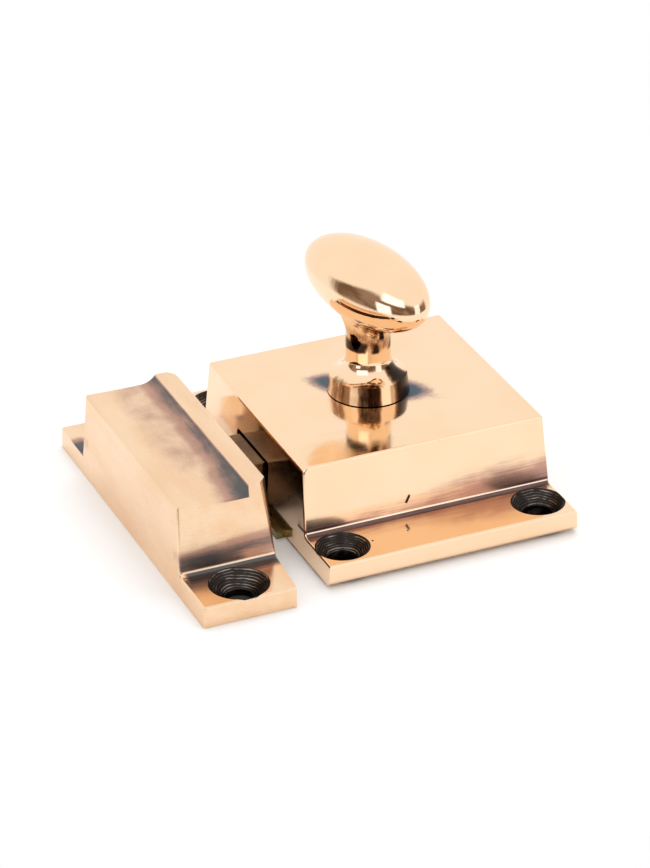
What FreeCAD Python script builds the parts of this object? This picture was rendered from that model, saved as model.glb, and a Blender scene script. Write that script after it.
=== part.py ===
import FreeCAD
import Part
import math
import os

from FreeCAD import Vector

# A surface-mounted cupboard catch: a cast case with a turn knob and a sprung bolt,
# and the separate keep that the bolt shoots into.
# Millimetres. The door face is z = 0 and the catch stands up from it along +Z.
# The bolt shoots towards -X, and the screw flanges of both castings lie along Y.

# Running and seating clearances
shaft_gap = 0.05
slide_gap = 0.10
side_gap = 0.30
collar_gap = 0.15
thread_gap = 0.02
pocket_gap = 0.10

# Line on which the spindle and the bolt are centred
works_y = 0.45
spindle_x = -0.7

# Back plate, which stands a little proud of the case's rim
plate_thick = 1.2
plate_proud = 0.5
plate_corner = 1.5
tongue_half = 13.6
tongue_out = 1.4

# Case casting
case_top_x = 41.0
case_top_y = 38.5
case_height = 14.8
case_length = 61.4
flange_thick = 3.5
side_draft = 2.6
end_draft = 8.2
case_wall = 2.4
case_cove = 0.8
case_arris = 0.35
toe_round = 0.8
worn_arris = 1.2
rim_ledge = 0.9

# Screw holes, for countersunk No. 8 wood screws
screw_hole_r = 2.3
sink_r = 4.3
keep_sink_r = 4.75
case_hole_inset = 3.8
case_hole_near_wall = 0.1

# Mouth in the case's side
mouth_half = 6.5
mouth_top = 9.6
mouth_corner = 0.8
mouth_flare = 2.5

# Fixing posts and screws of the back plate
post_inset_x = 4.6
post_inset_y = 3.9
post_r = 2.3
plate_screw_r = 1.0
plate_screw_head_r = 1.9
plate_screw_length = 6.5
screw_hole_spare = 0.5
slot_width = 0.5
slot_depth = 0.4

# Knob
collar_low_r = 6.6
collar_top_r = 6.2
collar_height = 2.95
scotia_r = 3.2
neck_r = 3.6
egg_r = 6.6
egg_near = 13.8
egg_far = 14.4
egg_height = 18.6
egg_blend = 5.0
knob_heading = 12.9

# Spindle below the collar
spindle_r = 3.0
bearing_boss_r = 5.25
bearing_boss_drop = 2.9
square_side = 4.2

# Cam, washer and cam screw
cam_hub_r = 4.2
cam_thick = 3.2
cam_tip_run = 0.03
cam_start = 0.12
cam_back_x = 4.0
cam_back_y = 5.6
cam_root_ratio = 0.8
cam_flank_steps = 10
washer_r = 3.3
washer_thick = 0.6
cam_screw_r = 1.25
cam_screw_length = 4.5
cam_head_r = 2.3
cam_head_thick = 1.2
cam_head_round = 0.3

# Bolt
bolt_travel = 7.5
knob_turn = 72.0
bolt_width = 10.5
bolt_top = 9.2
bolt_reach = 8.2
bolt_bevel_drop = 5.2
bolt_bevel_run = 4.6
bolt_nose_r = 0.8
bolt_arris = 0.35
cross_half = 10.6
cross_thick = 3.6
block_back = 1.8
tail_thick = 2.2
tail_half = 9.2
lug_near = 4.7
keeper_near = 6.4
lug_far = 8.4
lug_thick = 2.5
lug_top = 9.6
lug_slot = 5.0

# Guide ribs inside the case
rib_thick = 1.5
rib_end = 9.0
rib_clear = 0.8

# Bolt spring and its two spigots
spring_y = 7.2
spring_z = 6.4
spring_mean_r = 2.05
spring_gap = 0.3
spring_wire_r = 0.2
spring_turns = 8
spring_wire_sides = 6
spigot_r = 1.5
spigot_length = 3.0
pad_r = 2.9

# Keep casting
keep_left = -42.3
keep_y = -2.0
keep_width = 15.4
keep_length = 62.4
keep_foot_reach = 11.4
keep_height = 14.8
keep_side_draft = 2.1
keep_end_draft = 7.5
keep_toe_taper = 0.7
keep_foot = 3.5
keep_wall = 2.3
keep_cove = 0.9
keep_arris = 0.4
dish_depth = 0.18
lip_rise = 1.25
lip_width = 3.5
lip_cove_r = 2.9
lip_outer_r = 0.9
lip_end_run = 4.6
lip_end_drop = 1.7
lip_end_low = 0.3
keep_hole_left = 0.5
keep_hole_out = 0.25
keep_mouth_inset = 3.05
keep_mouth_top = 10.6
keep_ceiling = 11.4
keep_pocket_corner = 1.0

# Edge tests: how near counts as touching, and the shortest edge that gets rounded
touching = 0.01
short_edge = 3.0

# Drop of a quarter arc's middle from its corner, as a part of the radius
arc_middle = 1 - math.sqrt(0.5)

# Heights that follow from the sizes above
rim_z = plate_proud
case_top = rim_z + case_height
flange_top = rim_z + flange_thick
ceiling_z = case_top - case_wall
slide_z = plate_thick + slide_gap
tail_top = slide_z + tail_thick
boss_low = ceiling_z - bearing_boss_drop
cam_top = boss_low - slide_gap
cam_low = cam_top - cam_thick
washer_low = cam_low - washer_thick
cam_head_low = washer_low - cam_head_thick
collar_low = case_top + collar_gap
collar_rim = collar_low + collar_height
egg_z = collar_low + egg_height

# Keep's block between its feet
keep_top_y = keep_length - 2 * keep_foot_reach
keep_mouth_half = keep_top_y / 2 - keep_wall - keep_mouth_inset

# Involute cam: its base radius draws the bolt back evenly as the knob turns
turn_angle = math.radians(knob_turn)
cam_base_r = bolt_travel / turn_angle
cam_end = cam_start + turn_angle + cam_tip_run


def half_x(z):
    """Half width of the case's outside at height z."""
    return case_top_x / 2 + (case_top - z) * math.tan(math.radians(side_draft))


def half_y(z):
    """Half length of the case's walls at height z."""
    return case_top_y / 2 + (case_top - z) * math.tan(math.radians(end_draft))


# Inner faces and stops that the moving pieces are fitted to
left_inner = -(half_x(bolt_top) - case_wall)
cross_front = left_inner + slide_gap
cross_back = cross_front + cross_thick
pad_face = half_x(spring_z - spring_mean_r) - case_wall - side_gap
tail_end = half_x(tail_top) - case_wall - bolt_travel - side_gap
nose_tip = -half_x(rim_z) - bolt_reach
push_face = spindle_x + cam_base_r * cam_start + slide_gap


def outline(points):
    """Closed wire through straight edges."""
    return Part.makePolygon(points + [points[0]])


def prism(points, depth):
    """Solid swept from a flat outline along the depth vector."""
    return Part.Face(outline(points)).extrude(depth)


def box(low, high):
    """Box between two corners."""
    size = high - low
    return Part.makeBox(size.x, size.y, size.z, low)


def pick(shape, test):
    """Edges whose middle point passes the test."""
    chosen = []
    for edge in shape.Edges:
        if test(edge, edge.valueAt((edge.FirstParameter + edge.LastParameter) / 2)):
            chosen.append(edge)
    return chosen


def along(edge, axis):
    """True when a straight edge runs mostly along the axis."""
    if edge.Curve.TypeId != "Part::GeomLine":
        return False
    run = edge.valueAt(edge.LastParameter) - edge.valueAt(edge.FirstParameter)
    return abs(run.normalize().dot(axis)) > 0.9


X = Vector(1, 0, 0)
Y = Vector(0, 1, 0)
Z = Vector(0, 0, 1)


def countersink(x, y, face_z, rim_r):
    """Screw hole with a 90 degree sink cut from face_z and cleared above it."""
    depth = rim_r - screw_hole_r
    cone = Part.makeCone(screw_hole_r, rim_r, depth, Vector(x, y, face_z - depth))
    shank = Part.makeCylinder(screw_hole_r, face_z + 1, Vector(x, y, -1))
    above = Part.makeCylinder(rim_r, 2 * flange_thick, Vector(x, y, face_z))
    return shank.fuse(cone).fuse(above)


def rounded_outline(points, radius, z):
    """Flat face of a polygon at height z with its corners rounded."""
    solid = prism([Vector(x, y, z) for x, y in points], Z)
    solid = solid.makeFillet(radius, pick(solid, lambda e, m: along(e, Z)))
    low = [f for f in solid.Faces if abs(f.CenterOfMass.z - z) < touching]
    return low[0]


def plate_blank(low_z, high_z, grow):
    """Back plate's outline, grown by a clearance, between two heights."""
    wide = half_x(rim_z) - case_wall + rim_ledge + grow
    long = half_y(rim_z) - case_wall + rim_ledge + grow
    corners = [(-wide, -long), (wide, -long), (wide, long), (-wide, long)]
    main = rounded_outline(corners, plate_corner, low_z).extrude(Z * (high_z - low_z))
    tongue = box(
        Vector(-half_x(rim_z) - tongue_out - grow, works_y - tongue_half - grow, low_z),
        Vector(-wide / 2, works_y + tongue_half + grow, high_z),
    )
    return main.fuse(tongue).removeSplitter()


def post_places():
    """Centres of the four fixing posts."""
    x = case_top_x / 2 - post_inset_x
    y = case_top_y / 2 - post_inset_y
    return [(sx * x, sy * y) for sx in (-1, 1) for sy in (-1, 1)]


def case_blank():
    """Outside of the case: walls with draft, and a screw flange at each end."""
    end = case_length / 2
    foot = half_y(flange_top)
    side = [
        Vector(0, -end, rim_z),
        Vector(0, -end, flange_top),
        Vector(0, -foot, flange_top),
        Vector(0, -case_top_y / 2, case_top),
        Vector(0, case_top_y / 2, case_top),
        Vector(0, foot, flange_top),
        Vector(0, end, flange_top),
        Vector(0, end, rim_z),
    ]
    reach = half_x(0) + 1
    walls = prism([p - X * reach for p in side], X * 2 * reach)
    front = [
        Vector(-half_x(0), -end - 1, 0),
        Vector(half_x(0), -end - 1, 0),
        Vector(half_x(case_top + 1), -end - 1, case_top + 1),
        Vector(-half_x(case_top + 1), -end - 1, case_top + 1),
    ]
    blank = walls.common(prism(front, Y * (case_length + 2)))

    def at_foot(m):
        return abs(abs(m.y) - foot) < touching and abs(m.z - flange_top) < touching

    def on_toe(m):
        return abs(abs(m.y) - end) < touching and m.z < flange_top - toe_round

    def near_worn(m):
        return m.x < 0 and m.z > case_top - 1.3 * worn_arris and abs(m.y) < case_top_y / 2 - worn_arris

    def sharp(e, m):
        clear_of_cove = abs(abs(m.y) - foot) > 1.8 * case_cove
        return m.z > rim_z + toe_round and clear_of_cove and e.Length > short_edge and not near_worn(m)

    blank = blank.makeFillet(case_cove, pick(blank, lambda e, m: along(e, X) and at_foot(m)))
    blank = blank.makeFillet(toe_round, pick(blank, lambda e, m: along(e, X) and on_toe(m)))
    left_top = pick(blank, lambda e, m: along(e, Y) and m.z > case_top - touching and m.x < 0)
    blank = blank.makeFillet(case_arris, worn_arris, left_top)
    return blank.makeFillet(case_arris, pick(blank, sharp))


def cavity():
    """Hollow of the case, parallel to its outside and open at the back."""
    low = [half_x(0) - case_wall, half_y(0) - case_wall, 0]
    high = [half_x(ceiling_z) - case_wall, half_y(ceiling_z) - case_wall, ceiling_z]
    wires = []
    for wide, long, z in (low, high):
        corners = [(-wide, -long), (wide, -long), (wide, long), (-wide, long)]
        wires.append(outline([Vector(x, y, z) for x, y in corners]))
    hollow = Part.makeLoft(wires, True, True)
    uprights = pick(hollow, lambda e, m: abs(m.z - ceiling_z / 2) < 0.5)
    return hollow.makeFillet(plate_corner, uprights)


def mouth():
    """Side opening for the bolt, flaring at the back into the tongue's slot."""
    slot = tongue_half + pocket_gap
    slot_top = plate_thick + pocket_gap
    turn = mouth_flare
    bend = turn * arc_middle
    corner = mouth_corner
    corner_bend = corner * arc_middle

    def at(y, z):
        return Vector(-half_x(0) - 2, works_y + y, z)

    edges = []
    for s in (-1, 1):
        side = s * mouth_half
        edges += [
            Part.makeLine(at(s * slot, 0), at(s * slot, slot_top)),
            Part.makeLine(at(s * slot, slot_top), at(side + s * turn, slot_top)),
            Part.Arc(
                at(side + s * turn, slot_top),
                at(side + s * bend, slot_top + bend),
                at(side, slot_top + turn),
            ).toShape(),
            Part.makeLine(at(side, slot_top + turn), at(side, mouth_top - corner)),
            Part.Arc(
                at(side, mouth_top - corner),
                at(side - s * corner_bend, mouth_top - corner_bend),
                at(side - s * corner, mouth_top),
            ).toShape(),
        ]
    top = mouth_half - corner
    edges.append(Part.makeLine(at(-top, mouth_top), at(top, mouth_top)))
    edges.append(Part.makeLine(at(-slot, 0), at(slot, 0)))
    face = Part.Face(Part.Wire(Part.__sortEdges__(edges)))
    return face.extrude(X * (half_x(0) + 2 + left_inner + rib_clear))


def case():
    """Cast case with its hollow, bearing boss, guide ribs, posts and spring seat."""
    solid = case_blank().cut(cavity())
    core = case_core()

    boss_foot = Vector(spindle_x, works_y, boss_low)
    boss = Part.makeCylinder(bearing_boss_r, case_top - boss_low, boss_foot)
    added = [boss.common(core)]
    for x, y in post_places():
        post = Part.makeCylinder(post_r, ceiling_z + 1 - plate_thick, Vector(x, y, plate_thick))
        added.append(post.common(core))
    rib_inner = cross_half + side_gap
    for s in (-1, 1):
        near = works_y + s * rib_inner
        far = near + s * rib_thick
        rib = box(
            Vector(-half_x(0), min(near, far), plate_thick + rib_clear),
            Vector(rib_end, max(near, far), ceiling_z + 1),
        )
        added.append(rib.common(core))
    seat_y = works_y + spring_y
    seat = Vector(pad_face, seat_y, spring_z)
    pad = Part.makeCylinder(pad_r, half_x(0) - pad_face, seat, X)
    spigot = Part.makeCylinder(spigot_r, spigot_length + 1, seat - X * spigot_length, X)
    added.append(pad.fuse(spigot).common(core))
    solid = solid.multiFuse(added)

    cuts = [plate_blank(-1, plate_thick, pocket_gap), mouth()]
    cuts.append(Part.makeCylinder(spindle_r + shaft_gap, case_top, boss_foot - Z))
    hole_x = case_top_x / 2 - case_hole_inset
    hole_y = (half_y(flange_top) + case_length / 2) / 2 - case_hole_near_wall
    for sx in (-1, 1):
        for sy in (-1, 1):
            cuts.append(countersink(sx * hole_x, sy * hole_y, flange_top, sink_r))
    hole_depth = plate_screw_length + screw_hole_spare
    for x, y in post_places():
        cuts.append(Part.makeCylinder(plate_screw_r + thread_gap, hole_depth, Vector(x, y, 0)))
    return solid.cut(cuts[0].multiFuse(cuts[1:])).removeSplitter()


def case_core():
    """Volume just inside the case's skin, which keeps inner features from breaking out."""
    skin = case_wall / 2
    wires = []
    for z in (0, case_top - skin):
        wide = half_x(z) - skin
        long = half_y(z) - skin
        corners = [(-wide, -long), (wide, -long), (wide, long), (-wide, long)]
        wires.append(outline([Vector(x, y, z) for x, y in corners]))
    return Part.makeLoft(wires, True, True)


def plate_screw(x, y):
    """Slotted countersunk screw from the back of the plate into its post."""
    depth = plate_screw_head_r - plate_screw_r
    head = Part.makeCone(plate_screw_head_r, plate_screw_r, depth, Vector(x, y, 0))
    shank = Part.makeCylinder(plate_screw_r, plate_screw_length, Vector(x, y, 0))
    slot = box(
        Vector(x - plate_screw_head_r, y - slot_width / 2, -1),
        Vector(x + plate_screw_head_r, y + slot_width / 2, slot_depth),
    )
    return head.fuse(shank).cut(slot).removeSplitter()


def back_plate():
    """Pressed plate that closes the case's back and carries the bolt."""
    plate = plate_blank(0, plate_thick, 0)
    for x, y in post_places():
        depth = plate_screw_head_r - plate_screw_r
        sink = Part.makeCone(plate_screw_head_r, plate_screw_r, depth, Vector(x, y, 0))
        hole = Part.makeCylinder(plate_screw_r, plate_thick + 1, Vector(x, y, 0))
        plate = plate.cut(sink.fuse(hole))
    return plate


def plate_screws():
    """The back plate's four screws."""
    return Part.makeCompound([plate_screw(x, y) for x, y in post_places()])


def egg():
    """Egg-shaped head, turned about its long axis, which lies level."""
    across = Vector(0, egg_r, 0)
    near = Part.Ellipse(Vector(egg_near, 0, 0), across, Vector(0, 0, 0))
    far = Part.Ellipse(Vector(egg_far, 0, 0), across, Vector(0, 0, 0))
    edges = [
        Part.Arc(near, 0, math.pi / 2).toShape(),
        Part.Arc(far, math.pi / 2, math.pi).toShape(),
        Part.makeLine(Vector(-egg_far, 0, 0), Vector(egg_near, 0, 0)),
    ]
    head = Part.Face(Part.Wire(edges)).revolve(Vector(0, 0, 0), X, 360)
    head.rotate(Vector(0, 0, 0), Z, knob_heading - 90)
    head.translate(Vector(spindle_x, works_y, egg_z))
    return head


def knob():
    """Knob, collar and spindle in one turned casting."""
    arc_z = collar_rim + scotia_r
    bend = scotia_r * (1 - arc_middle)
    rim_r = min(collar_top_r, neck_r + scotia_r)
    rim_drop = math.sqrt(scotia_r ** 2 - (neck_r + scotia_r - rim_r) ** 2)
    corners = [
        Vector(neck_r, 0, arc_z),
        Vector(neck_r, 0, egg_z),
        Vector(0, 0, egg_z),
        Vector(0, 0, boss_low),
        Vector(spindle_r, 0, boss_low),
        Vector(spindle_r, 0, collar_low),
        Vector(collar_low_r, 0, collar_low),
        Vector(rim_r, 0, arc_z - rim_drop),
    ]
    profile = [Part.makeLine(a, b) for a, b in zip(corners, corners[1:])]
    scotia_middle = Vector(neck_r + scotia_r - bend, 0, arc_z - bend)
    profile.append(Part.Arc(corners[-1], scotia_middle, corners[0]).toShape())
    stem = Part.Face(Part.Wire(profile)).revolve(Vector(0, 0, 0), Z, 360)
    stem.translate(Vector(spindle_x, works_y, 0))
    half = square_side / 2
    square = box(
        Vector(spindle_x - half, works_y - half, cam_low + slide_gap),
        Vector(spindle_x + half, works_y + half, boss_low + 1),
    )
    bore_foot = Vector(spindle_x, works_y, cam_low)
    bore_depth = cam_screw_length + screw_hole_spare
    bore = Part.makeCylinder(cam_screw_r + thread_gap, bore_depth, bore_foot)
    solid = stem.fuse(square).cut(bore).fuse(egg())

    def on_seam(e, m):
        at_neck = math.hypot(m.x - spindle_x, m.y - works_y) < neck_r + shaft_gap
        under_egg = egg_z - egg_r - 1 < m.z < egg_z
        return at_neck and under_egg and e.Length > short_edge and not along(e, Z)

    return solid.makeFillet(egg_blend, pick(solid, on_seam))


def cam_point(roll):
    """Point of the cam's involute flank at a roll angle, at rest."""
    back = -(roll - cam_start)
    x = cam_base_r * roll
    y = -cam_base_r
    return Vector(
        spindle_x + x * math.cos(back) - y * math.sin(back),
        works_y + x * math.sin(back) + y * math.cos(back),
        cam_low,
    )


def cam():
    """Hooked cam on the spindle's square. Its flank is an involute."""
    rolls = [cam_end * i / cam_flank_steps for i in range(cam_flank_steps + 1)]
    flank_points = [cam_point(roll) for roll in rolls]
    flank = Part.BSplineCurve()
    flank.interpolate(Points=flank_points)
    hub = Vector(spindle_x, works_y, cam_low)
    root = hub + (flank_points[0] - hub) * (cam_root_ratio * cam_hub_r / cam_base_r)
    heel = hub - X * (cam_root_ratio * cam_hub_r)
    back = Part.Arc(flank_points[-1], hub + Vector(-cam_back_x, -cam_back_y, 0), heel)
    edges = [
        Part.makeLine(root, flank_points[0]),
        flank.toShape(),
        back.toShape(),
        Part.makeLine(heel, root),
    ]
    finger = Part.Face(Part.Wire(edges)).extrude(Z * cam_thick)
    solid = finger.fuse(Part.makeCylinder(cam_hub_r, cam_thick, hub)).removeSplitter()
    half = square_side / 2 + shaft_gap
    hole = box(hub + Vector(-half, -half, -1), hub + Vector(half, half, cam_thick + 1))
    return solid.cut(hole)


def cam_washer():
    """Plain washer between the cam and its screw."""
    low = Vector(spindle_x, works_y, washer_low)
    disc = Part.makeCylinder(washer_r, washer_thick, low)
    return disc.cut(Part.makeCylinder(cam_screw_r + side_gap / 2, washer_thick, low))


def cam_screw():
    """Slotted screw that holds the cam and its washer on the spindle."""
    low = Vector(spindle_x, works_y, cam_head_low)
    head = Part.makeCylinder(cam_head_r, cam_head_thick, low)
    rim = pick(head, lambda e, m: abs(m.z - cam_head_low) < touching)
    head = head.makeFillet(cam_head_round, rim)
    shank = Part.makeCylinder(cam_screw_r, cam_screw_length, low + Z * cam_head_thick)
    slot = box(
        Vector(spindle_x - cam_head_r, works_y - slot_width / 2, cam_head_low - 1),
        Vector(spindle_x + cam_head_r, works_y + slot_width / 2, cam_head_low + slot_depth),
    )
    return head.fuse(shank).cut(slot).removeSplitter()


def bolt():
    """Cast bolt: bevelled nose, crosshead, tail, two cam lugs and spring spigot."""
    half = bolt_width / 2
    low = slide_z
    nose = prism(
        [
            Vector(nose_tip + bolt_bevel_run, works_y - half, low),
            Vector(nose_tip, works_y - half, low + bolt_bevel_drop),
            Vector(nose_tip, works_y - half, bolt_top),
            Vector(cross_back + block_back, works_y - half, bolt_top),
            Vector(cross_back + block_back, works_y - half, low),
        ],
        Y * bolt_width,
    )
    tops = pick(nose, lambda e, m: along(e, Y) and m.z > bolt_top - touching)
    tip = [e for e in tops if abs(e.CenterOfMass.x - nose_tip) < touching]
    nose = nose.makeFillet(bolt_nose_r, tip)
    rims = pick(nose, lambda e, m: along(e, X) and m.z > bolt_top - touching)
    nose = nose.makeFillet(bolt_arris, rims)
    cross = box(
        Vector(cross_front, works_y - cross_half, low),
        Vector(cross_back, works_y + cross_half, bolt_top - bolt_arris),
    )
    tail = box(
        Vector(cross_back - 1, works_y - tail_half, low),
        Vector(tail_end, works_y + tail_half, tail_top),
    )
    lugs = []
    pusher = (push_face, 1, lug_near)
    keeper = (push_face - lug_slot, -1, keeper_near)
    for face_x, side, near in (pusher, keeper):
        other = face_x + side * lug_thick
        lugs.append(box(
            Vector(min(face_x, other), works_y - lug_far, low),
            Vector(max(face_x, other), works_y - near, lug_top),
        ))
    spigot_foot = Vector(cross_back - 1, works_y + spring_y, spring_z)
    spigot = Part.makeCylinder(spigot_r, spigot_length + 1, spigot_foot, X)
    return nose.multiFuse([cross, tail, spigot] + lugs).removeSplitter()


def bolt_spring():
    """Compression spring from the crosshead to the far wall's pad, in many-sided wire."""
    start = cross_back + spring_gap + spring_wire_r
    end = pad_face - spring_gap - spring_wire_r
    length = end - start
    helix = Part.makeHelix(length / spring_turns, length, spring_mean_r)
    rim = []
    for i in range(spring_wire_sides):
        angle = 2 * math.pi * (i + 0.5) / spring_wire_sides
        across = spring_mean_r + spring_wire_r * math.cos(angle)
        rim.append(Vector(across, 0, spring_wire_r * math.sin(angle)))
    coil = Part.Wire(helix).makePipeShell([outline(rim)], True, True)
    coil.rotate(Vector(0, 0, 0), Y, 90)
    coil.translate(Vector(start, works_y + spring_y, spring_z))
    return coil


def keep_half_y(z):
    """Half length of the keep's block at height z."""
    return keep_top_y / 2 + (keep_height - z) * math.tan(math.radians(keep_end_draft))


def keep_section():
    """Section of the keep across the lip, as a face at the keep's far end."""
    right = keep_left + keep_width
    lean = keep_height * math.tan(math.radians(keep_side_draft))
    lip_top = keep_height + lip_rise
    lip_in = right - lip_width
    floor = keep_height - dish_depth
    rise = lip_top - floor
    run = math.sqrt(lip_cove_r ** 2 - (lip_cove_r - rise) ** 2)
    turn = math.asin(run / lip_cove_r) / 2
    cove_start = lip_in - run
    bend = lip_outer_r * arc_middle
    y = keep_y - keep_length

    def at(x, z):
        return Vector(x, y, z)

    edges = [
        Part.makeLine(at(keep_left - lean, 0), at(keep_left, keep_height)),
        Part.Arc(
            at(keep_left, keep_height),
            at((keep_left + cove_start) / 2, floor + dish_depth / 6),
            at(cove_start, floor),
        ).toShape(),
        Part.Arc(
            at(cove_start, floor),
            at(cove_start + lip_cove_r * math.sin(turn), floor + lip_cove_r * (1 - math.cos(turn))),
            at(lip_in, lip_top),
        ).toShape(),
        Part.makeLine(at(lip_in, lip_top), at(right - lip_outer_r, lip_top)),
        Part.Arc(
            at(right - lip_outer_r, lip_top),
            at(right - bend, lip_top - bend),
            at(right, lip_top - lip_outer_r),
        ).toShape(),
        Part.makeLine(at(right, lip_top - lip_outer_r), at(right, 0)),
        Part.makeLine(at(right, 0), at(keep_left - lean, 0)),
    ]
    return Part.Face(Part.Wire(edges))


def lip_end(s, right):
    """Cutter that rounds the lip off at one end, tapering out down the wall's corner."""
    wires = []
    low = keep_foot + keep_cove
    high = keep_height + lip_rise
    for z, across, run in ((low, lip_end_low, lip_end_low), (high, lip_end_drop, lip_end_run)):
        end = keep_half_y(z)

        def at(x, out):
            return Vector(right + x, keep_y + s * (end + out), z)

        bend = arc_middle
        arc = Part.Arc(at(-across, 0), at(-across * bend, -run * bend), at(0, -run)).toShape()
        corners = [at(0, -run), at(1, -run), at(1, 1), at(-across, 1), at(-across, 0)]
        lines = [Part.makeLine(a, b) for a, b in zip(corners, corners[1:])]
        wires.append(Part.Wire([arc] + lines))
    return Part.makeLoft(wires, True, True)


def keep():
    """Cast keep: dished block with a raised strike lip, two feet and a bolt pocket."""
    end = keep_length / 2
    foot = keep_half_y(keep_foot)
    top = keep_height + lip_rise + 1
    side = [
        Vector(0, -end, 0),
        Vector(0, -end, keep_foot),
        Vector(0, -foot, keep_foot),
        Vector(0, -keep_half_y(top), top),
        Vector(0, keep_half_y(top), top),
        Vector(0, foot, keep_foot),
        Vector(0, end, keep_foot),
        Vector(0, end, 0),
    ]
    reach = Vector(keep_left - 5, keep_y, 0)
    block = prism([p + reach for p in side], X * (keep_width + 10))
    solid = block.common(keep_section().extrude(Y * 2 * keep_length))

    def at_foot(m):
        return abs(abs(m.y - keep_y) - foot) < touching and abs(m.z - keep_foot) < touching

    def sharp(e, m):
        clear_of_cove = abs(abs(m.y - keep_y) - foot) > 1.4 * keep_cove
        left = m.x < keep_left + 1 and clear_of_cove and e.Length > short_edge
        end_edge = m.x > keep_left + 1 and abs(abs(m.y - keep_y) - end) < touching
        return m.z > keep_arris and (left or end_edge)

    solid = solid.makeFillet(keep_cove, pick(solid, lambda e, m: along(e, X) and at_foot(m)))
    solid = solid.makeFillet(keep_arris, pick(solid, sharp))

    inner_left = keep_left + keep_wall
    right = keep_left + keep_width
    inner_end = keep_top_y / 2 - keep_wall
    pocket = box(
        Vector(inner_left, keep_y - inner_end, -1),
        Vector(right - keep_wall, keep_y + inner_end, keep_ceiling),
    )
    pocket = pocket.makeFillet(keep_pocket_corner, pick(pocket, lambda e, m: along(e, Z)))
    opening = box(
        Vector(right - keep_wall - 1, keep_y - keep_mouth_half, -1),
        Vector(right + 1, keep_y + keep_mouth_half, keep_mouth_top),
    )
    hole_x = keep_left + keep_width / 2 - keep_hole_left
    hole_y = (foot + end) / 2 + keep_hole_out
    cutter = pocket.fuse(opening)
    for s in (-1, 1):
        solid = solid.cut(lip_end(s, right))
        cutter = cutter.fuse(countersink(hole_x, keep_y + s * hole_y, keep_foot, keep_sink_r))
        toe = [
            Vector(right, keep_y + s * foot, -1),
            Vector(right - keep_toe_taper, keep_y + s * (end + touching), -1),
            Vector(right + 1, keep_y + s * (end + touching), -1),
        ]
        cutter = cutter.fuse(prism(toe, Z * (keep_foot + 2)))
    return solid.cut(cutter).removeSplitter()


pieces = {
    "case": case,
    "back_plate": back_plate,
    "plate_screws": plate_screws,
    "knob": knob,
    "cam": cam,
    "cam_washer": cam_washer,
    "cam_screw": cam_screw,
    "bolt": bolt,
    "bolt_spring": bolt_spring,
    "keep": keep,
}

os.makedirs("parts", exist_ok=True)
for name, make in pieces.items():
    shape = make()
    print(name, len(shape.Solids), "solids", round(shape.Volume, 1), "mm3 valid", shape.isValid())
    shape.exportStep(os.path.join("parts", name + ".step"))
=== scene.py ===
import bpy
import bmesh
import math
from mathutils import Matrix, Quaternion, Vector


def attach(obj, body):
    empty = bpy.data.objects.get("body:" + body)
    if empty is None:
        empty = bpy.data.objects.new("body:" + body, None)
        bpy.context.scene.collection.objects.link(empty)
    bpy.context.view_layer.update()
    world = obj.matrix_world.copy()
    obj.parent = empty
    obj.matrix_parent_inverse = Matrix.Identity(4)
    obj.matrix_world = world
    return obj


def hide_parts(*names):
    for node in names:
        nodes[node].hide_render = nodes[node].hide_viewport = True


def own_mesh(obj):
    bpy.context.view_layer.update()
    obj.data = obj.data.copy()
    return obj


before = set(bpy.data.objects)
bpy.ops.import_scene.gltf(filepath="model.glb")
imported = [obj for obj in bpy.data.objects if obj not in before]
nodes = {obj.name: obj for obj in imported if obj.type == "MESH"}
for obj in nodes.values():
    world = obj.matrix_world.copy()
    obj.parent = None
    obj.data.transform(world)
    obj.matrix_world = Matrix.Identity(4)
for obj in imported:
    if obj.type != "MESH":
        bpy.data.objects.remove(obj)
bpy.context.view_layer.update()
print("frame loaded:", len(nodes), "nodes")


# small helpers for shader trees
def addNode(tree, kind, **settings):
    made = tree.nodes.new(kind)
    for name, value in settings.items():
        setattr(made, name, value)
    return made


def plug(tree, socket, value):  # a socket is linked, a number or colour is set
    if isinstance(value, bpy.types.NodeSocket):
        tree.links.new(value, socket)
    else:
        socket.default_value = value


def calc(tree, operation, *values, clamp=False):
    made = addNode(tree, "ShaderNodeMath", operation=operation, use_clamp=clamp)
    for i, value in enumerate(values):
        plug(tree, made.inputs[i], value)
    return made.outputs[0]


def fade(tree, value, start, end):  # 0 at start, 1 at end, smooth between
    made = addNode(tree, "ShaderNodeMapRange", interpolation_type="SMOOTHSTEP")
    plug(tree, made.inputs["Value"], value)
    plug(tree, made.inputs["From Min"], start)
    plug(tree, made.inputs["From Max"], end)
    return made.outputs["Result"]


def times(tree, *values):
    result = values[0]
    for value in values[1:]:
        result = calc(tree, "MULTIPLY", result, value)
    return result


def most(tree, *values):
    result = values[0]
    for value in values[1:]:
        result = calc(tree, "MAXIMUM", result, value)
    return result


def blendColour(tree, factor, first, second, mode="MIX"):
    made = addNode(tree, "ShaderNodeMix", data_type="RGBA", blend_type=mode)
    plug(tree, made.inputs[0], factor)
    plug(tree, made.inputs[6], first)
    plug(tree, made.inputs[7], second)
    return made.outputs[2]


def blendValue(tree, factor, first, second):
    made = addNode(tree, "ShaderNodeMix", data_type="FLOAT")
    plug(tree, made.inputs[0], factor)
    plug(tree, made.inputs[2], first)
    plug(tree, made.inputs[3], second)
    return made.outputs[0]


def grain(tree, point, stretch, scale, detail=2.0, roughness=0.5):  # stretched noise, 0 to 1
    moved = addNode(tree, "ShaderNodeVectorMath", operation="MULTIPLY")
    plug(tree, moved.inputs[0], point)
    moved.inputs[1].default_value = stretch
    made = addNode(tree, "ShaderNodeTexNoise")
    plug(tree, made.inputs["Vector"], moved.outputs[0])
    made.inputs["Scale"].default_value = scale
    made.inputs["Detail"].default_value = detail
    made.inputs["Roughness"].default_value = roughness
    return made.outputs[0]


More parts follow.
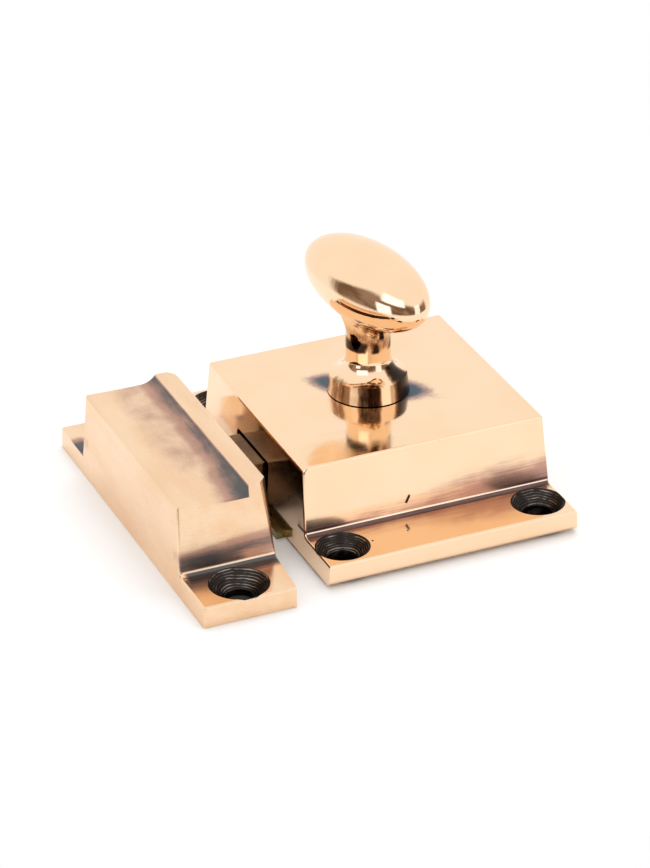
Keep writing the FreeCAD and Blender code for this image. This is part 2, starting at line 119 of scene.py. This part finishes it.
def millimetres(tree):  # object coordinates as a vector and as X, Y, Z in millimetres
    place = addNode(tree, "ShaderNodeTexCoord")
    scaled = addNode(tree, "ShaderNodeVectorMath", operation="SCALE")
    plug(tree, scaled.inputs[0], place.outputs["Object"])
    scaled.inputs["Scale"].default_value = 1000
    parts = addNode(tree, "ShaderNodeSeparateXYZ")
    plug(tree, parts.inputs[0], scaled.outputs[0])
    return scaled.outputs[0], parts.outputs[0], parts.outputs[1], parts.outputs[2]


def distance(tree, a, b, middleA, middleB):  # from a point, measured in two directions
    da = calc(tree, "SUBTRACT", a, middleA)
    db = calc(tree, "SUBTRACT", b, middleB)
    return calc(tree, "SQRT", calc(tree, "ADD", times(tree, da, da), times(tree, db, db)))


def newMaterial(name):
    made = bpy.data.materials.new(name)
    made.use_nodes = True
    tree = made.node_tree
    return made, tree, tree.nodes["Principled BSDF"]


def bumped(tree, shader, height, depth):  # depth in metres
    made = addNode(tree, "ShaderNodeBump")
    made.inputs["Strength"].default_value = 1.0
    made.inputs["Distance"].default_value = depth
    plug(tree, made.inputs["Height"], height)
    plug(tree, shader.inputs["Normal"], made.outputs[0])


def newGroup(name, inputs, outputs):
    tree = bpy.data.node_groups.new(name, "ShaderNodeTree")
    for label, kind in inputs:
        tree.interface.new_socket(label, in_out="INPUT", socket_type=kind)
    for label, kind in outputs:
        tree.interface.new_socket(label, in_out="OUTPUT", socket_type=kind)
    return tree, addNode(tree, "NodeGroupInput"), addNode(tree, "NodeGroupOutput")


def useGroup(tree, group, **values):
    made = addNode(tree, "ShaderNodeGroup", node_tree=group)
    for label, value in values.items():
        plug(tree, made.inputs[label], value)
    return made.outputs


def finish(node, material):
    for slot in nodes[node].material_slots:
        slot.material = material


# effects that several finishes share

# Old patina that polishing leaves in a recess: a mask is broken up along one direction,
# with a brown halo round a dark core
patina, given, result = newGroup(
    "oldPatina",
    [("Point", "NodeSocketVector"), ("Mask", "NodeSocketFloat"), ("Stretch", "NodeSocketVector"),
     ("Metal", "NodeSocketColor"), ("Halo", "NodeSocketColor"), ("Core", "NodeSocketColor"),
     ("Break", "NodeSocketFloat")],
    [("Colour", "NodeSocketColor"), ("Amount", "NodeSocketFloat")],
)
drawn = addNode(patina, "ShaderNodeVectorMath", operation="MULTIPLY")
plug(patina, drawn.inputs[0], given.outputs["Point"])
plug(patina, drawn.inputs[1], given.outputs["Stretch"])
streak = grain(patina, drawn.outputs[0], (1, 1, 1), 1.0, 5.0, 0.65)
cloud = grain(patina, given.outputs["Point"], (1, 1, 1), 0.22, 3.0, 0.55)
broken = calc(patina, "ADD", given.outputs["Mask"],
              times(patina, calc(patina, "SUBTRACT", streak, 0.5), given.outputs["Break"]))
broken = calc(patina, "ADD", broken, times(patina, calc(patina, "SUBTRACT", cloud, 0.5), 0.30))
amount = times(patina, fade(patina, broken, 0.02, 1.02), fade(patina, given.outputs["Mask"], 0.0, 0.16))
stain = blendColour(patina, fade(patina, amount, 0.0, 0.55), given.outputs["Metal"], given.outputs["Halo"])
dark = blendColour(patina, fade(patina, amount, 0.52, 1.02), stain, given.outputs["Core"])
plug(patina, result.inputs["Colour"], dark)
plug(patina, result.inputs["Amount"], amount)

# Tool rings in a countersink, from the distance to its centre
rings, given, result = newGroup(
    "turnedRings",
    [("Radius", "NodeSocketFloat"), ("Point", "NodeSocketVector"), ("Pitch", "NodeSocketFloat")],
    [("Height", "NodeSocketFloat"), ("Shade", "NodeSocketFloat")],
)
wander = grain(rings, given.outputs["Point"], (1, 1, 1), 0.35, 2.0)
phase = calc(rings, "ADD", given.outputs["Radius"], times(rings, wander, 0.5))
turns = calc(rings, "DIVIDE", times(rings, phase, 2 * math.pi), given.outputs["Pitch"])
wave = calc(rings, "SINE", turns)
coarse = calc(rings, "SINE", times(rings, turns, 0.37))
height = calc(rings, "ADD", wave, times(rings, coarse, 0.35))
plug(rings, result.inputs["Height"], height)
# Shade: lighter on the ring crests, partly wear and partly a painted highlight
wear = grain(rings, given.outputs["Point"], (1, 1, 1), 0.55, 3.0)
plug(rings, result.inputs["Shade"], times(rings, fade(rings, height, 0.2, 1.3), fade(rings, wear, 0.40, 0.66)))
print("shared effects built")


# case and knob: polished bronze
polished = {
    "metal": (0.965, 0.705, 0.475, 1),
    "warm": (0.95, 0.675, 0.435, 1),
    "roughness": 0.085,
    "patinaRoughness": 0.42,
    "footStain": (0.52, 0.285, 0.215, 1), "footDark": (0.125, 0.082, 0.080, 1),
    "collarStain": (0.46, 0.30, 0.25, 1), "collarDark": (0.085, 0.115, 0.140, 1),
    "knobStain": (0.30, 0.15, 0.075, 1), "knobDark": (0.030, 0.018, 0.012, 1),
    "sinkDark": (0.034, 0.028, 0.024, 1), "sinkWornAndHighlight": (0.36, 0.30, 0.26, 1),
    "spindle": (-0.7, 0.45),      # mm, as the frame has it
    "sinkX": 16.7, "sinkY": 25.69, "sinkR": 4.33,
    "flangeTop": 4.0, "wallFoot": 20.88, "top": 15.3,
    "smudges": [(136.0, 7.0, 1.1), (-31.0, 6.5, 1.15), (41.0, 8.5, 0.45), (-38.0, 11.0, 0.62)],
    "pits": [(2.4, -19.05, 14.9, 0.32), (16.3, -18.75, 13.4, 0.22), (-11.8, -26.0, 4.0, 0.26), (-5.6, -25.4, 4.0, 0.20)],
    # angle, cosines where it starts and is full, upper end, level
    "collarPatches": [(-49.0, 0.86, 0.99, 20.9, 1.0), (-112.0, 0.935, 0.985, 19.1, 0.80),
                      (-165.0, 0.93, 0.99, 19.1, 0.45)],
    "nickFrom": (-3.75, 5.9), "nickTo": (-3.0, 7.2), "nickWidth": 0.17,
}


def polishedBronze(name, onCase):
    made, tree, shader = newMaterial(name)
    point, x, y, z = millimetres(tree)
    sideX = calc(tree, "ABSOLUTE", x)
    sideY = calc(tree, "ABSOLUTE", y)
    tone = grain(tree, point, (1, 1, 1), 0.09, 3.0)
    metal = blendColour(tree, fade(tree, tone, 0.35, 0.75), polished["metal"], polished["warm"])
    haze = grain(tree, point, (0.35, 1, 1), 0.5, 4.0, 0.6)
    rough = blendValue(tree, fade(tree, haze, 0.35, 0.8), polished["roughness"], polished["roughness"] * 1.9)
    wave = grain(tree, point, (1, 1, 1), 0.11, 1.0)
    hair = grain(tree, point, (0.12, 3.0, 3.0), 4.0, 2.0)
    height = calc(tree, "ADD", times(tree, wave, 1.0), times(tree, hair, 0.012))
    if not onCase:
        # the wheel can't reach parts of the collar and a ring round the neck; the top of the neck and the flare under
        # the head are darkened as well
        dx = calc(tree, "SUBTRACT", x, polished["spindle"][0])
        dy = calc(tree, "SUBTRACT", y, polished["spindle"][1])
        fromSpindle = distance(tree, x, y, *polished["spindle"])
        collar = None
        for angle, far, near, highest, level in polished["collarPatches"]:
            turn = math.radians(angle)
            facing = calc(tree, "DIVIDE", calc(tree, "ADD", times(tree, dx, math.cos(turn)),
                                               times(tree, dy, math.sin(turn))), fromSpindle)
            patch = times(tree, fade(tree, facing, far, near), fade(tree, z, highest, highest - 0.7), level)
            collar = patch if collar is None else most(tree, collar, patch)
        blot = grain(tree, point, (1, 1, 0.6), 0.42, 1.0)
        ring = times(tree, fade(tree, z, 22.9, 23.6), fade(tree, z, 26.2, 24.4), fade(tree, blot, 0.36, 0.60),
                     fade(tree, fromSpindle, 4.6, 3.9))
        # darker at the top of the neck, fading out up the flare under the head
        neck = times(tree, fade(tree, z, 29.5, 25.5), fade(tree, z, 23.0, 24.2), 0.40)
        worn = useGroup(tree, patina, Point=point, Mask=most(tree, collar, ring, neck), Stretch=(1.6, 1.6, 0.5),
                        Metal=metal, Halo=polished["knobStain"], Core=polished["knobDark"], Break=0.7)
        plug(tree, shader.inputs["Base Color"], worn["Colour"])
        plug(tree, shader.inputs["Roughness"], times(tree, rough, 0.55))
        bumped(tree, shader, height, 0.00002)
        shader.inputs["Metallic"].default_value = 1.0
        return made

    top = fade(tree, z, polished["top"] - 0.25, polished["top"] - 0.05)
    # foot of the end walls, higher towards the right, with a dark line just over the cove
    rise = calc(tree, "ADD", 8.6, times(tree, fade(tree, x, -6.0, 10.0), 3.6))
    foot = calc(tree, "SUBTRACT", 1.0, fade(tree, z, polished["flangeTop"] + 0.6, rise))
    onWall = times(tree, fade(tree, z, polished["flangeTop"] + 0.45, polished["flangeTop"] + 0.8),
                   fade(tree, sideY, 17.5, 18.6))
    right = fade(tree, x, -7.0, 13.0)
    footMask = times(tree, foot, onWall, calc(tree, "ADD", 0.40, times(tree, right, 0.24)))
    ends = calc(tree, "ADD", 0.40, times(tree, fade(tree, sideX, 6.0, 19.0), 0.60))
    line = times(tree, calc(tree, "SUBTRACT", 1.0, fade(tree, z, polished["flangeTop"] + 0.7,
                                                      polished["flangeTop"] + 1.7)), onWall, ends)
    # flange just outside the cove
    fromCove = calc(tree, "SUBTRACT", sideY, polished["wallFoot"] + 0.5)
    flange = times(tree, calc(tree, "SUBTRACT", 1.0, fade(tree, fromCove, -0.2, 2.8)),
                   calc(tree, "LESS_THAN", z, polished["flangeTop"] + 0.42),
                   calc(tree, "GREATER_THAN", z, polished["flangeTop"] - 0.3),
                   fade(tree, sideY, polished["wallFoot"] - 0.3, polished["wallFoot"]),
                   calc(tree, "LESS_THAN", sideX, 20.75))
    deep = times(tree, fade(tree, fromCove, 0.5, 0.1), 0.35)
    footMask = most(tree, footMask, line, times(tree, flange, calc(tree, "ADD", 0.50, deep)))
    # spots beside the collar that the polishing wheel can't reach
    collar = None
    for angle, reach, level in polished["smudges"]:
        turn = math.radians(angle)
        dx = calc(tree, "SUBTRACT", x, polished["spindle"][0])
        dy = calc(tree, "SUBTRACT", y, polished["spindle"][1])
        out = calc(tree, "ADD", times(tree, dx, math.cos(turn)), times(tree, dy, math.sin(turn)))
        side = calc(tree, "ABSOLUTE", calc(tree, "SUBTRACT", times(tree, dy, math.cos(turn)),
                                          times(tree, dx, math.sin(turn))))
        taper = calc(tree, "ADD", side, times(tree, calc(tree, "SUBTRACT", out, 6.0), 0.35))
        spot = times(tree, calc(tree, "SUBTRACT", 1.0, fade(tree, out, 6.4, 6.6 + reach)),
                     calc(tree, "SUBTRACT", 1.0, fade(tree, taper, 0.4, 5.4)),
                     fade(tree, out, 3.0, 5.0), level)
        collar = spot if collar is None else most(tree, collar, spot)
    collar = times(tree, collar, top)
    worn = useGroup(tree, patina, Point=point, Mask=footMask, Stretch=(0.16, 3.0, 4.2), Metal=metal,
                    Halo=polished["footStain"], Core=polished["footDark"], Break=0.45)
    speckled = useGroup(tree, patina, Point=point, Mask=collar, Stretch=(1.2, 2.2, 1.0),
                        Metal=worn["Colour"], Halo=polished["collarStain"], Core=polished["collarDark"],
                        Break=0.45)
    stained = most(tree, worn["Amount"], speckled["Amount"])

    # countersinks
    sinkGap = distance(tree, sideX, sideY, polished["sinkX"], polished["sinkY"])
    inSink = calc(tree, "LESS_THAN", sinkGap, polished["sinkR"])
    turned = useGroup(tree, rings, Radius=sinkGap, Point=point, Pitch=0.30)
    # ring crests lighter: partly wear, partly painted highlight
    sinkColour = blendColour(tree, turned["Shade"], polished["sinkDark"], polished["sinkWornAndHighlight"])

    # one nick in the front wall
    (ax, az), (bx, bz) = polished["nickFrom"], polished["nickTo"]
    run = math.hypot(bx - ax, bz - az)
    dx = calc(tree, "SUBTRACT", x, ax)
    dz = calc(tree, "SUBTRACT", z, az)
    alongNick = calc(tree, "ADD", times(tree, dx, (bx - ax) / run), times(tree, dz, (bz - az) / run))
    offNick = calc(tree, "ABSOLUTE", calc(tree, "SUBTRACT", times(tree, dx, (bz - az) / run),
                                          times(tree, dz, (bx - ax) / run)))
    nick = times(tree, fade(tree, alongNick, -0.1, 0.15), fade(tree, alongNick, run + 0.1, run - 0.25),
                 fade(tree, offNick, polished["nickWidth"] * 1.6, polished["nickWidth"] * 0.6),
                 calc(tree, "LESS_THAN", y, -17))

    # small casting pits
    for px, py, pz, size in polished["pits"]:
        away = distance(tree, distance(tree, x, y, px, py), z, 0.0, pz)
        nick = most(tree, nick, fade(tree, away, size, size * 0.4))

    colour = blendColour(tree, nick, speckled["Colour"], (0.03, 0.02, 0.015, 1))
    colour = blendColour(tree, inSink, colour, sinkColour)
    plug(tree, shader.inputs["Base Color"], colour)
    surface = blendValue(tree, stained, rough, polished["patinaRoughness"])
    plug(tree, shader.inputs["Roughness"], blendValue(tree, inSink, surface, 0.30))
    height = calc(tree, "SUBTRACT", height, times(tree, nick, 1.5))
    height = calc(tree, "ADD", height, times(tree, stained, 0.05, haze))
    height = blendValue(tree, inSink, height, times(tree, turned["Height"], 0.9))
    bumped(tree, shader, height, 0.00003)
    shader.inputs["Metallic"].default_value = 1.0
    return made


finish("case", polishedBronze("polishedCase", True))
finish("knob", polishedBronze("polishedKnob", False))
print("polished bronze done")


# keep: brushed bronze with a dark recess along its lip
brushed = {
    "metal": (0.93, 0.665, 0.445, 1),
    "warm": (0.88, 0.59, 0.36, 1),
    "roughness": 0.25, "footRoughness": 0.12,
    "stain": (0.51, 0.295, 0.215, 1), "core": (0.115, 0.110, 0.112, 1),
    "inner": (0.42, 0.235, 0.115, 1),
    "left": -42.3, "right": -26.9, "middleY": -2.0, "top": 14.8,
    "recess": -30.6, "coreWidth": 0.7, "haloWidth": 6.0, "endY": 31.16,
    "holeX": -35.1, "holeY": 26.494, "sinkR": 4.78, "footTop": 3.5, "wallFoot": 21.29,
}


def brushedBronze(name):
    made, tree, shader = newMaterial(name)
    point, x, y, z = millimetres(tree)
    along = calc(tree, "SUBTRACT", y, brushed["middleY"])
    sideY = calc(tree, "ABSOLUTE", along)
    tone = grain(tree, point, (1, 0.3, 1), 0.22, 3.0)
    metal = blendColour(tree, fade(tree, tone, 0.35, 0.72), brushed["metal"], brushed["warm"])

    # brushing runs along the block, and across it on the end walls
    lengthwise = grain(tree, point, (3.2, 0.10, 3.2), 3.2, 3.0, 0.65)
    crosswise = grain(tree, point, (0.12, 3.2, 3.2), 3.2, 3.0, 0.65)
    onEnd = times(tree, fade(tree, sideY, 17.9, 18.4), calc(tree, "LESS_THAN", z, 14.0))
    brush = blendValue(tree, onEnd, lengthwise, crosswise)

    # recess along the lip: its dark core widens towards the front
    fromLip = calc(tree, "SUBTRACT", brushed["recess"], x)
    front = fade(tree, along, -4.0, -20.0)
    core = calc(tree, "ADD", brushed["coreWidth"], times(tree, front, 1.5))
    ragged = times(tree, calc(tree, "SUBTRACT", grain(tree, point, (1, 0.3, 1), 0.5, 2.0), 0.5), 0.9)
    outward = calc(tree, "DIVIDE", calc(tree, "SUBTRACT", calc(tree, "ADD", fromLip, ragged), core),
                   brushed["haloWidth"])
    recess = times(tree, fade(tree, outward, 1.0, -0.55), fade(tree, fromLip, -0.30, 0.05),
                   calc(tree, "GREATER_THAN", z, 14.0))
    # lower part of the end walls
    top = calc(tree, "ADD", 8.6, times(tree, fade(tree, x, -41.0, -29.0), 2.0))
    foot = calc(tree, "SUBTRACT", 1.0, fade(tree, z, brushed["footTop"] + 2.2, top))
    lifted = calc(tree, "SUBTRACT", 1.0, times(tree, fade(tree, x, -37.0, -29.5),
                                               fade(tree, z, brushed["footTop"] + 3.0, brushed["footTop"] + 1.2), 0.45))
    endWall = times(tree, foot, lifted, 0.80, fade(tree, z, brushed["footTop"] + 0.5, brushed["footTop"] + 0.9),
                    fade(tree, sideY, 18.0, 18.8), fade(tree, x, -42.75, -42.45))
    # foot just outside the cove
    fromCove = calc(tree, "SUBTRACT", sideY, brushed["wallFoot"] + 0.6)
    onFoot = times(tree, calc(tree, "LESS_THAN", z, brushed["footTop"] + 0.42),
                   calc(tree, "GREATER_THAN", z, brushed["footTop"] - 0.3), fade(tree, sideY, 20.9, 21.2))
    coveBand = times(tree, calc(tree, "SUBTRACT", 1.0, fade(tree, fromCove, 0.6, 3.2)), onFoot,
                     fade(tree, x, -42.5, -41.3))
    # back of the rear foot, in the corner by the block
    corner = times(tree, fade(tree, along, 20.5, 21.5), fade(tree, along, 28.5, 23.5), fade(tree, x, -39.8, -41.4),
                   calc(tree, "LESS_THAN", z, brushed["footTop"] + 0.42), calc(tree, "GREATER_THAN", z, 3.2))
    # the dished top stays a little tanned, apart from its edges
    tan = times(tree, fade(tree, x, -41.8, -36.0), fade(tree, along, -19.0, -5.0), fade(tree, fromLip, -0.3, 0.05),
                calc(tree, "GREATER_THAN", z, 14.0), 0.34)
    mask = most(tree, recess, endWall, corner, tan, times(tree, coveBand, 0.95))
    worn = useGroup(tree, patina, Point=point, Mask=mask, Stretch=(0.24, 0.24, 3.0), Metal=metal,
                    Halo=brushed["stain"], Core=brushed["core"], Break=0.42)

    sinkGap = distance(tree, x, sideY, brushed["holeX"], brushed["holeY"])
    inSink = times(tree, calc(tree, "LESS_THAN", sinkGap, brushed["sinkR"]),
                   calc(tree, "LESS_THAN", sideY, brushed["endY"]))
    turned = useGroup(tree, rings, Radius=sinkGap, Point=point, Pitch=0.34)
    # ring crests lighter: partly wear, partly painted highlight
    sinkColour = blendColour(tree, turned["Shade"], polished["sinkDark"], polished["sinkWornAndHighlight"])

    # side that faces the case, left unpolished
    inner = fade(tree, x, brushed["right"] - 0.25, brushed["right"] - 0.05)
    colour = blendColour(tree, inner, worn["Colour"], brushed["inner"])
    plug(tree, shader.inputs["Base Color"], blendColour(tree, inSink, colour, sinkColour))
    surface = blendValue(tree, fade(tree, brush, 0.3, 0.8), brushed["roughness"] * 0.8, brushed["roughness"] * 1.25)
    surface = blendValue(tree, onFoot, surface, brushed["footRoughness"])
    surface = blendValue(tree, worn["Amount"], surface, 0.36)
    plug(tree, shader.inputs["Roughness"], blendValue(tree, inSink, surface, 0.28))
    height = blendValue(tree, inSink, times(tree, brush, 0.30), times(tree, turned["Height"], 0.9))
    bumped(tree, shader, height, 0.00003)
    shader.inputs["Metallic"].default_value = 1.0
    return made


finish("keep", brushedBronze("brushedKeep"))
print("keep done")


# bolt, back plate and the works inside
works = {
    "bolt": (0.20, 0.130, 0.082, 1), "boltDark": (0.095, 0.062, 0.042, 1),
    "plate": (0.33, 0.26, 0.10, 1), "plateGreen": (0.21, 0.19, 0.07, 1),
    "steel": (0.56, 0.56, 0.55, 1), "steelDark": (0.30, 0.29, 0.28, 1),
}


def plainMetal(name, light, dark, roughness, stretch, scale):
    made, tree, shader = newMaterial(name)
    point, x, y, z = millimetres(tree)
    blotch = grain(tree, point, (1, 1, 1), scale, 4.0, 0.6)
    scratch = grain(tree, point, stretch, 3.0, 2.0, 0.6)
    colour = blendColour(tree, fade(tree, blotch, 0.35, 0.75), light, dark)
    plug(tree, shader.inputs["Base Color"], colour)
    plug(tree, shader.inputs["Roughness"],
         blendValue(tree, fade(tree, scratch, 0.25, 0.8), roughness * 0.8, roughness * 1.3))
    bumped(tree, shader, scratch, 0.000008)
    shader.inputs["Metallic"].default_value = 1.0
    return made


finish("bolt", plainMetal("bronzeBolt", works["bolt"], works["boltDark"], 0.22, (0.6, 1.5, 1.5), 0.25))
finish("back_plate", plainMetal("passivatedPlate", works["plate"], works["plateGreen"], 0.32, (1, 1, 1), 0.35))
turnedSteel = plainMetal("turnedSteel", works["steel"], works["steelDark"], 0.30, (2, 2, 0.5), 0.6)
for part in ("plate_screws", "cam", "cam_washer", "cam_screw"):
    finish(part, turnedSteel)
springWire = plainMetal("springWire", works["steel"], works["steelDark"], 0.25, (3, 3, 3), 1.2)
finish("bolt_spring", springWire)
print("works done")


# the coil, which sits against its seat in the case, gets a mesh of its own attached to the case
coilMesh = bpy.data.meshes.new("springCoil")
bm = bmesh.new()
bm.from_mesh(nodes["bolt_spring"].data)
bmesh.ops.remove_doubles(bm, verts=bm.verts, dist=0.000001)
bmesh.ops.recalc_face_normals(bm, faces=bm.faces)
bm.to_mesh(coilMesh)
bm.free()
coilMesh.materials.clear()
coilMesh.materials.append(springWire)
springCoil = bpy.data.objects.new("springCoil", coilMesh)
bpy.context.scene.collection.objects.link(springCoil)
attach(springCoil, "case_body")
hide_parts("bolt_spring")
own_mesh(springCoil)


# floor, light and camera
studio = {
    "floorColour": (0.955, 0.955, 0.96, 1), "floorSize": 0.6,
    # painted shadow: dark patches on the floor under the castings, seen through their screw holes
    "shadedColour": (0.05, 0.045, 0.04, 1),
    "shaded": [(0.0, 0.0, 19.0, 28.5), (-34.9, -2.0, 6.0, 29.5)],   # mm, middle and half sizes under the castings
    "paperMiddle": (22.0, 6.0), "paperRadius": (92.0, 130.0),      # mm, where the paper starts to fade and ends
    "room": (0.175, 0.115, 0.080, 1), "roomLight": (0.33, 0.25, 0.20, 1), "white": 1.04,
    "boxColour": (1.55, 1.72, 2.0, 1),
    "roomAcross": (-127.0, 80.0), "roomHigh": (24.0, 15.0),
    # soft boxes: middle and half width, lowest and highest edge, softness, in degrees, and level
    "boxes": [(-72.0, 10.5, -60.0, 4.0, 5.0, 1.0), (-51.0, 25.0, 14.0, 40.0, 8.0, 1.0),
              (26.0, 14.0, -24.0, 22.0, 9.0, 0.72)],
}

bm = bmesh.new()
bmesh.ops.create_grid(bm, x_segments=1, y_segments=1, size=studio["floorSize"])
floorMesh = bpy.data.meshes.new("floor")
bm.to_mesh(floorMesh)
bm.free()
floor = bpy.data.objects.new("floor", floorMesh)
bpy.context.scene.collection.objects.link(floor)
floor.location.z = -0.00005

# the sheet of paper fades out into the white all round it
floorPaper, tree, shader = newMaterial("floorPaper")
point, x, y, z = millimetres(tree)
fromMiddle = distance(tree, x, y, *studio["paperMiddle"])
plug(tree, shader.inputs["Alpha"], fade(tree, fromMiddle, studio["paperRadius"][1], studio["paperRadius"][0]))
paper = studio["floorColour"]
# painted shadow under the castings, seen through their holes
for middleX, middleY, halfX, halfY in studio["shaded"]:   # dark under the castings, seen through their holes
    offX = calc(tree, "ABSOLUTE", calc(tree, "SUBTRACT", x, middleX))
    offY = calc(tree, "ABSOLUTE", calc(tree, "SUBTRACT", y, middleY))
    under = times(tree, calc(tree, "LESS_THAN", offX, halfX), calc(tree, "LESS_THAN", offY, halfY))
    paper = blendColour(tree, under, paper, studio["shadedColour"])
plug(tree, shader.inputs["Base Color"], paper)
shader.inputs["Roughness"].default_value = 0.9
shader.inputs["Specular IOR Level"].default_value = 0.1
floorMesh.materials.append(floorPaper)

world = bpy.data.worlds.new("studio")
bpy.context.scene.world = world
world.use_nodes = True
tree = world.node_tree
sky = tree.nodes["Background"]
direction = addNode(tree, "ShaderNodeTexCoord")
parts = addNode(tree, "ShaderNodeSeparateXYZ")
plug(tree, parts.inputs[0], direction.outputs["Generated"])
azimuth = times(tree, calc(tree, "ARCTAN2", parts.outputs[0], times(tree, parts.outputs[1], -1.0)), 180 / math.pi)
elevation = times(tree, calc(tree, "ARCSINE", parts.outputs[2]), 180 / math.pi)


def panel(middle, half, low, high, soft, level):  # soft-edged window of the sky, in degrees
    off = calc(tree, "ABSOLUTE", calc(tree, "SUBTRACT", azimuth, middle))
    return times(tree, fade(tree, off, half + soft / 2, half - soft / 2),
                 fade(tree, elevation, low - soft / 2, low + soft / 2),
                 fade(tree, elevation, high + soft / 2, high - soft / 2), level)


# the room in front of the table is brown, and ends higher on the left
lowest, highest = studio["roomAcross"]
upwards = calc(tree, "MAXIMUM", elevation, 0.0)
leftEdge = fade(tree, calc(tree, "SUBTRACT", azimuth, times(tree, upwards, 1.4)), lowest - 5, lowest + 7)
rightEdge = fade(tree, azimuth, highest + 8, highest - 8)
crown = blendValue(tree, fade(tree, azimuth, -20.0, 40.0), *studio["roomHigh"])
under = fade(tree, calc(tree, "SUBTRACT", elevation, crown), 8.0, -8.0)
room = times(tree, leftEdge, rightEdge, under)
murk = grain(tree, direction.outputs["Generated"], (1, 1, 1), 2.6, 3.0)
roomColour = blendColour(tree, fade(tree, murk, 0.38, 0.66), studio["room"], studio["roomLight"])
shade = blendColour(tree, room, (studio["white"], studio["white"], studio["white"], 1), roomColour)
lit = None
for window in studio["boxes"]:
    lit = panel(*window) if lit is None else most(tree, lit, panel(*window))
seen = blendColour(tree, lit, shade, studio["boxColour"])
light = addNode(tree, "ShaderNodeLightPath")
colour = blendColour(tree, light.outputs["Is Glossy Ray"], (1, 1, 1, 1), seen)
colour = blendColour(tree, light.outputs["Is Camera Ray"], colour, (1, 1, 1, 1))
colour = blendColour(tree, light.outputs["Is Transmission Ray"], colour, (1, 1, 1, 1))
plug(tree, sky.inputs["Color"], colour)
sky.inputs["Strength"].default_value = 1.0


def softLamp(name, place, aim, size, power):
    lamp = bpy.data.lights.new(name, "AREA")
    lamp.shape = "RECTANGLE"
    lamp.size = size
    lamp.size_y = size
    lamp.energy = power
    made = bpy.data.objects.new(name, lamp)
    bpy.context.scene.collection.objects.link(made)
    made.location = place
    made.rotation_euler = (Vector(aim) - Vector(place)).to_track_quat("-Z", "Y").to_euler()
    made.visible_glossy = False
    return made


softLamp("topLamp", (0.1, 0.15, 0.7), (0, 0, 0), 0.5, 1.2)

view = {
    "place": (-0.222518, -0.502407, 0.309727), "aim": (-0.009672, -0.002774, 0.010627),
    "roll": -0.7025,              # degrees, about the line of sight
    "lens": 162.38, "sensor": 36.0,
}
camera = bpy.data.cameras.new("camera")
camera.lens = view["lens"]
camera.sensor_width = view["sensor"]
camera.clip_start = 0.01
camera.clip_end = 50
cameraObject = bpy.data.objects.new("camera", camera)
bpy.context.scene.collection.objects.link(cameraObject)
cameraObject.location = view["place"]
look = (Vector(view["aim"]) - Vector(view["place"])).to_track_quat("-Z", "Y")
cameraObject.rotation_euler = (look @ Quaternion((0, 0, 1), math.radians(view["roll"]))).to_euler()
bpy.context.scene.camera = cameraObject
bpy.context.scene.view_settings.view_transform = "Standard"
print("studio done")
